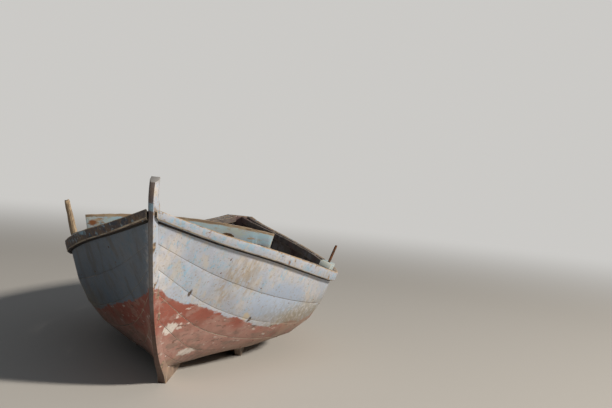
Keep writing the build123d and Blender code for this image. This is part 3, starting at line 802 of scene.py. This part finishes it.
def wear_edges(piece, width, edge):
    """Rounds the piece's sharp edges, with their own material, and shades it smooth."""
    piece.data.materials.append(material(edge))
    bevel = piece.modifiers.new("wear", "BEVEL")
    bevel.width = width
    bevel.segments = WEAR_STEPS
    bevel.limit_method = "ANGLE"
    bevel.angle_limit = math.radians(SHARP)
    bevel.material = 1
    select_only(piece)
    bpy.ops.object.modifier_apply(modifier=bevel.name)
    bpy.ops.object.mode_set(mode="EDIT")
    bpy.ops.mesh.select_all(action="SELECT")
    bpy.ops.mesh.dissolve_degenerate(threshold=SLIVER)
    bpy.ops.object.mode_set(mode="OBJECT")
    bpy.ops.object.shade_smooth_by_angle(angle=math.radians(SMOOTH_TIMBER))


def cut_across(piece, origin, direction, places):
    """Cuts the piece's faces square to a direction at distances from an origin."""
    select_only(piece)
    bpy.ops.object.mode_set(mode="EDIT")
    for place in places:
        bpy.ops.mesh.select_all(action="SELECT")
        bpy.ops.mesh.bisect(plane_co=origin + direction * place, plane_no=direction)
    bpy.ops.object.mode_set(mode="OBJECT")


def spread(low, high, count):
    """So many places at even steps between low and high."""
    return [low + (high - low) * number / (count + 1) for number in range(1, count + 1)]


class BOAT_OT_planks(bpy.types.Operator):
    """Round the edges of the hull's planks, so that their seams show"""

    bl_idname = "boat.planks"
    bl_label = "Hull planks"

    def execute(self, context):
        for side in SIDES:
            for strake in STRAKES:
                node = f"{strake}_{side}"
                piece = copied_timber(node)
                wear_edges(piece, context.scene.boat_sizes.seam_arris, "seam")
                declare(piece, SLOTS[node], node)
        return {"FINISHED"}


def draw_in_head(stem):
    """Narrows the stem above the rails, where it was trimmed to a post."""
    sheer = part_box("rail_port")[1][2]
    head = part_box("stem")[1][2]
    cut_across(stem, ORIGIN, UP, spread(sheer - HEAD_UNDER, head, HEAD_CUTS))
    above = [vertex for vertex in stem.data.vertices if vertex.co.z > sheer]
    fronts = []
    for vertex in above:
        level = min(vertex.co.z, head - HEAD_ROUND)
        hit, where, _, _ = stem.ray_cast(Vector((head * 4, 0, level)), -AHEAD)
        if not hit:
            raise RuntimeError("The stem has no front at its head")
        fronts.append(where.x)
    for vertex, front in zip(above, fronts):
        share = min(1, (vertex.co.z - sheer) / HEAD_SETS_IN)
        vertex.co.x = front - (front - vertex.co.x) * (1 - HEAD_TRIMMED * share)
        vertex.co.y *= 1 - HEAD_DRAWN_IN * share


def shade_rail_underside(rail):
    """Paints shade on the rail's lower edges, in the dark filling colour of the planks' seams."""
    rail.data.materials.append(material("seam"))
    for face in rail.data.polygons:
        if face.material_index == 1 and face.normal.z < RAIL_UNDER:
            face.material_index = 2


class BOAT_OT_timbers(bpy.types.Operator):
    """Wear the edges of the keel, stem, rails and the timbers inside, and paint shade on the rails' lower
    edges
    """

    bl_idname = "boat.timbers"
    bl_label = "Timbers"

    def execute(self, context):
        sizes = context.scene.boat_sizes
        for node, slot in SLOTS.items():
            if slot in ("backbone", "rails", "inside") or node == "transom":
                piece = copied_timber(node)
                if node == "stem":
                    piece.data.materials[0] = material("stem")
                    draw_in_head(piece)
                wear_edges(piece, sizes.rail_arris if slot == "rails" else sizes.arris, "edge")
                if slot == "rails":
                    # The rail's lower edges take painted shade
                    shade_rail_underside(piece)
                declare(piece, slot, node)
        return {"FINISHED"}


def shadow_bead(node):
    """A black bead in the corner under a rubbing rail, swept along the rail's lower inner edge, as a painted
    shadow under the rail.
    """
    side = 1 if node.endswith("port") else -1
    bead = copied_timber(node)
    mesh = bead.data
    beside_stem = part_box("stem")[1][1] + BEAD_CLEAR
    touching = {}
    for face in mesh.polygons:
        for key in face.edge_keys:
            touching.setdefault(key, []).append(face.normal)
    for item in (*mesh.polygons, *mesh.edges, *mesh.vertices):
        item.select = False
    for edge in mesh.edges:
        normals = touching[edge.key]
        below = any(normal.z < BEAD_UNDER for normal in normals)
        at_stem = all(abs(mesh.vertices[number].co.y) < beside_stem for number in edge.vertices)
        inner = any(normal.y * side < BEAD_INNER and normal.z > BEAD_UNDER for normal in normals)
        edge.select = below and inner and not at_stem
    if not any(edge.select for edge in mesh.edges):
        raise RuntimeError(f"{node} has no lower inner edge for the pitch")
    select_only(bead)
    bpy.ops.object.mode_set(mode="EDIT")
    bpy.ops.mesh.select_mode(type="EDGE")
    bpy.ops.mesh.select_all(action="INVERT")
    bpy.ops.mesh.delete(type="EDGE")
    bpy.ops.mesh.select_mode(type="VERT")
    bpy.ops.object.mode_set(mode="OBJECT")
    bpy.ops.object.convert(target="CURVE")
    bead.data.bevel_depth = bpy.context.scene.boat_sizes.shadow_bead
    bead.data.bevel_resolution = BEAD_ROUND
    bead.data.use_fill_caps = True
    bpy.ops.object.convert(target="MESH")
    bpy.ops.object.mode_set(mode="EDIT")
    bpy.ops.mesh.select_all(action="SELECT")
    bpy.ops.mesh.remove_doubles(threshold=MERGE)
    bpy.ops.mesh.normals_make_consistent(inside=False)
    bpy.ops.object.mode_set(mode="OBJECT")
    bead.name = f"shadow_bead_under_{node}"
    bead.data.materials.clear()
    bead.data.materials.append(material("pitch"))
    bpy.ops.object.shade_smooth()
    declare(bead, "backbone")


class BOAT_OT_shadow_bead(bpy.types.Operator):
    """Run a black bead along under the rubbing rails, as their painted shadow"""

    bl_idname = "boat.pitch"
    # The black bead under the rails is their painted shadow
    bl_label = "Pitch under the rails"

    def execute(self, context):
        for side in SIDES:
            shadow_bead(f"rail_{side}")
        return {"FINISHED"}


class BOAT_OT_board(bpy.types.Operator):
    """Wear the raised board's top edge ragged and break a hollow out of its face"""

    bl_idname = "boat.board"
    bl_label = "Raised board"

    def execute(self, context):
        sizes = context.scene.boat_sizes
        low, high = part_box("breakwater")
        piece = copied_timber("breakwater")
        cut_across(piece, ORIGIN, ACROSS, spread(low[1], high[1], BOARD_CUTS))
        cut_across(piece, ORIGIN, AHEAD, spread(low[0], high[0], 1))
        # The top at each cut, by its place across the boat to the millimetre
        tops = {}
        for vertex in piece.data.vertices:
            key = round(vertex.co.y, 3)
            tops[key] = max(tops.get(key, low[2]), vertex.co.z)
        for vertex in piece.data.vertices:
            if tops[round(vertex.co.y, 3)] - vertex.co.z < sizes.board_wear / 2:
                along, across = BOARD_RAGGED
                ragged = noise.noise(Vector((vertex.co.x * along, vertex.co.y * across, 0)))
                vertex.co.z -= sizes.board_wear * (0.5 + 0.5 * ragged)
        wear_edges(piece, sizes.arris, "edge")

        hollow = Vector((high[0] + HOLLOW[0], HOLLOW[1], high[2] + HOLLOW[2]))
        bpy.ops.object.select_all(action="DESELECT")
        bpy.ops.mesh.primitive_ico_sphere_add(subdivisions=3, radius=1, location=(0, 0, 0))
        cutter = context.object
        cutter.data.materials.append(material("bare_wood"))
        for vertex in cutter.data.vertices:
            rough = 1 + HOLLOW_ROUGH * noise.noise(vertex.co * HOLLOW_RUGGED)
            stretched = Vector([part * half for part, half in zip(vertex.co, HOLLOW_SIZE)])
            vertex.co = hollow + stretched * rough
        boolean = piece.modifiers.new("hollow", "BOOLEAN")
        boolean.operation = "DIFFERENCE"
        boolean.object = cutter
        boolean.material_mode = "TRANSFER"
        select_only(piece)
        bpy.ops.object.modifier_apply(modifier=boolean.name)
        bpy.data.objects.remove(cutter)
        if not piece.data.polygons:
            raise RuntimeError("The hollow took the whole board away")
        declare(piece, "boards", "breakwater")
        return {"FINISHED"}


def stick(node, cuts, taper, bend, wobble, seed):
    """A copy of a thole, tapered, bent and knotted above its block, with a rounded head."""
    mount = MOUNTS[node]
    axis = Vector(mount["axis"]).normalized()
    long, radius = mount["dims"]["length_mm"] / 1000, mount["dims"]["r_mm"] / 1000
    foot = Vector(mount["pos_m"]) - axis * long / 2
    piece = copied_timber(node)
    cut_across(piece, foot, axis, spread(0, long, cuts))
    shift = Vector((seed % 7, seed % 5, 0))
    along, around = THOLE_KNOTS
    for vertex in piece.data.vertices:
        up = (vertex.co - foot).dot(axis) / long
        if up > THOLE_END:
            centre = foot + axis * up * long
            out = vertex.co - centre
            grown = Vector((up * along, out.x / radius * around, out.y / radius * around)) + shift
            knots = 1 + wobble * noise.noise(grown)
            thinned = 1 + taper * (1 - 2 * up)
            at_head = up > 1 - THOLE_END
            head = THOLE_HEAD if at_head else 1
            vertex.co = centre + out * thinned * knots * head + Vector((bend * up * up, 0, 0))
            if at_head:
                vertex.co -= axis * (THOLE_DROP + THOLE_SLANT * abs(out.x))
    select_only(piece)
    bpy.ops.object.shade_smooth_by_angle(angle=math.radians(SMOOTH_THOLE))
    return piece


def raise_top(block, height):
    """Lifts a block's top by the wedge that was nailed on it."""
    _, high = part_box("thole_block_starboard")
    for vertex in block.data.vertices:
        if high[2] - vertex.co.z < BLOCK_TOP:
            vertex.co.z += height


class BOAT_OT_tholes(bpy.types.Operator):
    """Make the bare bent post to starboard, the rusty pin to port and the blocks they stand in"""

    bl_idname = "boat.tholes"
    bl_label = "Tholes and blocks"

    def execute(self, context):
        sizes = context.scene.boat_sizes
        post = stick(
            "thole_post_starboard", cuts=12, taper=0.14, bend=-sizes.post_bend, wobble=0.20, seed=3
        )
        declare(post, "bare_wood", "thole_post_starboard")
        pin = stick("thole_pin_port", cuts=8, taper=0.05, bend=sizes.post_bend / 2, wobble=0.10, seed=8)
        declare(pin, "iron", "thole_pin_port")
        for side in SIDES:
            node = f"thole_block_{side}"
            block = copied_timber(node)
            if side == "starboard":
                raise_top(block, sizes.block_wedge)
            wear_edges(block, sizes.arris, "edge")
            declare(block, "boards", node)
        return {"FINISHED"}


def plank_nails(strake, station, inset):
    """Places and outward normals of the nails near a plank's two edges, in the rib's plane at a station."""
    met = []
    for number in FAN_STEPS:
        angle = math.radians(number / 2)
        outward = Vector((0, math.sin(angle), -math.cos(angle)))
        if strake.name.count("starboard"):
            outward.y = -outward.y
        start = Vector((station, 0, FAN_HEIGHT)) + outward * FAN_REACH
        hit, where, normal, _ = strake.ray_cast(start, -outward)
        if hit and normal.dot(outward) > FAN_FACING:
            met.append((where, normal))
    if len(met) < FEWEST_MET:
        return []
    (low, low_normal), (high, high_normal) = met[0], met[-1]
    breadth = high - low
    if breadth.length < NARROWEST * inset:
        return []
    shift = breadth.normalized() * inset
    return [(low + shift, low_normal), (high - shift, high_normal)]


class BOAT_OT_nails(bpy.types.Operator):
    """Drive the nails that hold the planks to the ribs, two to a plank at each rib"""

    bl_idname = "boat.nails"
    bl_label = "Nails"

    def execute(self, context):
        sizes = context.scene.boat_sizes
        # The ribs' faces, to the centimetre
        ribs = sorted({round(vertex.co.x, 2) for vertex in frame["nodes"]["rib_heads_port"].data.vertices})
        after_faces = ribs[:1] + [x for before, x in zip(ribs, ribs[1:]) if x - before > RIB_APART]
        stations = [x + RIB_HALF for x in after_faces]
        bpy.ops.object.select_all(action="DESELECT")
        radius = sizes.nail_head / 2
        bpy.ops.mesh.primitive_cylinder_add(
            vertices=NAIL_SIDES, radius=radius, depth=NAIL_THICK, location=(0, 0, 0)
        )
        head = context.object
        bevel = head.modifiers.new("dome", "BEVEL")
        bevel.width = NAIL_DOME
        bevel.limit_method = "ANGLE"
        bpy.ops.object.modifier_apply(modifier=bevel.name)
        bpy.ops.object.shade_smooth_by_angle(angle=math.radians(SMOOTH_NAIL))
        head.data.materials.append(material("iron"))
        chance = random.Random(NAIL_SEED)
        stray_along, stray_up = NAIL_STRAY
        for side in SIDES:
            nails = []
            for strake in STRAKES:
                plank = bpy.data.objects[f"{strake}_{side}_worn"]
                for station in stations:
                    for where, normal in plank_nails(plank, station, sizes.nail_inset):
                        nail = bpy.data.objects.new("nail", head.data.copy())
                        context.scene.collection.objects.link(nail)
                        along = chance.uniform(-stray_along, stray_along)
                        jog = Vector((along, 0, chance.uniform(-stray_up, stray_up)))
                        turn = normal.to_track_quat("Z", "Y").to_matrix().to_4x4()
                        nail.data.transform(Matrix.Translation(where + jog) @ turn)
                        nails.append(nail)
            if not nails:
                raise RuntimeError(f"No nail met a plank to {side}")
            bpy.ops.object.select_all(action="DESELECT")
            for nail in nails:
                nail.select_set(True)
            context.view_layer.objects.active = nails[0]
            bpy.ops.object.join()
            nails[0].name = f"nails_{side}"
            declare(nails[0], "iron")
        bpy.data.objects.remove(head)
        return {"FINISHED"}


def lamp(name, place, aim, size, power, tint):
    data = bpy.data.lights.new(name, "AREA")
    data.shape = "RECTANGLE"
    data.size, data.size_y = size
    data.energy = power
    data.color = tint
    made = bpy.data.objects.new(name, data)
    made.location = place
    made.rotation_euler = (Vector(aim) - Vector(place)).to_track_quat("-Z", "Y").to_euler()
    bpy.context.scene.collection.objects.link(made)


def studio_floor(name):
    """A pale floor that fades into the backdrop's colour away from the boat."""
    f = Finish(name)
    away = f.math("SQRT", f.math("ADD", f.times(f.x, f.x), f.times(f.y, f.y)))
    far = f.node("ShaderNodeEmission", Color=BACKDROP, Strength=1.0)
    blend = f.tree.nodes.new("ShaderNodeMixShader")
    f.end(FLOOR, 0.9)
    f.plug(blend.inputs[0], f.step(away, *FLOOR_FADES))
    f.tree.links.new(f.shader.outputs[0], blend.inputs[1])
    f.tree.links.new(far.outputs[0], blend.inputs[2])
    f.tree.links.new(blend.outputs[0], f.tree.nodes["Material Output"].inputs["Surface"])
    return f.material


class BOAT_OT_stage(bpy.types.Operator):
    """Set up the floor, the backdrop, the lamps and the camera"""

    bl_idname = "boat.stage"
    bl_label = "Stage"

    def execute(self, context):
        scene = context.scene
        bpy.ops.object.select_all(action="DESELECT")
        bpy.ops.mesh.primitive_plane_add(size=FLOOR_SIZE, location=(0, 0, 0))
        floor = context.object
        floor.name = "floor"
        floor.data.materials.append(studio_floor("pale_floor"))
        world = bpy.data.worlds.new("studio")
        scene.world = world
        world.use_nodes = True
        tree = world.node_tree
        sky = tree.nodes["Background"]
        sky.inputs["Color"].default_value = (*SKY, 1)
        sky.inputs["Strength"].default_value = SKY_STRENGTH
        seen = tree.nodes.new("ShaderNodeBackground")
        seen.inputs["Color"].default_value = (*BACKDROP, 1)
        path = tree.nodes.new("ShaderNodeLightPath")
        blend = tree.nodes.new("ShaderNodeMixShader")
        tree.links.new(path.outputs["Is Camera Ray"], blend.inputs[0])
        tree.links.new(sky.outputs[0], blend.inputs[1])
        tree.links.new(seen.outputs[0], blend.inputs[2])
        tree.links.new(blend.outputs[0], tree.nodes["World Output"].inputs["Surface"])
        lamp("key", *KEY_LAMP)
        lamp("fill", *FILL_LAMP)

        camera = bpy.data.cameras.new("photo_view")
        camera.sensor_width = SENSOR
        camera.lens = SENSOR * FOCAL_PIXELS / PHOTO_WIDTH
        camera.clip_end = CAMERA_REACH
        eye = bpy.data.objects.new("photo_view", camera)
        up = CAMERA_RIGHT.cross(CAMERA_AHEAD)
        turn = Matrix((CAMERA_RIGHT, up, -CAMERA_AHEAD)).transposed().to_4x4()
        eye.matrix_world = Matrix.Translation(CAMERA_PLACE) @ turn
        scene.collection.objects.link(eye)
        scene.camera = eye
        scene.view_settings.view_transform = "Standard"
        return {"FINISHED"}


class BOAT_PT_panel(bpy.types.Panel):
    """The boat's colours, sizes and pieces, in the sidebar"""

    bl_idname = "BOAT_PT_panel"
    bl_label = "Boat"
    bl_space_type = "VIEW_3D"
    bl_region_type = "UI"
    bl_category = "Boat"

    def draw(self, context):
        for group in (context.scene.boat_paint, context.scene.boat_sizes):
            for name in group.__annotations__:
                self.layout.prop(group, name)
        for operator in OPERATORS:
            self.layout.operator(operator.bl_idname)


OPERATORS = (
    BOAT_OT_planks,
    BOAT_OT_timbers,
    BOAT_OT_shadow_bead,
    BOAT_OT_board,
    BOAT_OT_tholes,
    BOAT_OT_nails,
    BOAT_OT_stage,
)
CLASSES = (BoatPaint, BoatSizes, *OPERATORS, BOAT_PT_panel)


def register():
    for made in CLASSES:
        bpy.utils.register_class(made)
    bpy.types.Scene.boat_paint = bpy.props.PointerProperty(type=BoatPaint)
    bpy.types.Scene.boat_sizes = bpy.props.PointerProperty(type=BoatSizes)


def unregister():
    del bpy.types.Scene.boat_sizes
    del bpy.types.Scene.boat_paint
    for made in reversed(CLASSES):
        bpy.utils.unregister_class(made)


def main():
    register()
    bpy.ops.boat.planks()
    bpy.ops.boat.timbers()
    bpy.ops.boat.pitch()
    bpy.ops.boat.board()
    bpy.ops.boat.tholes()
    bpy.ops.boat.nails()
    bpy.ops.boat.stage()


if __name__ == "__main__":
    main()
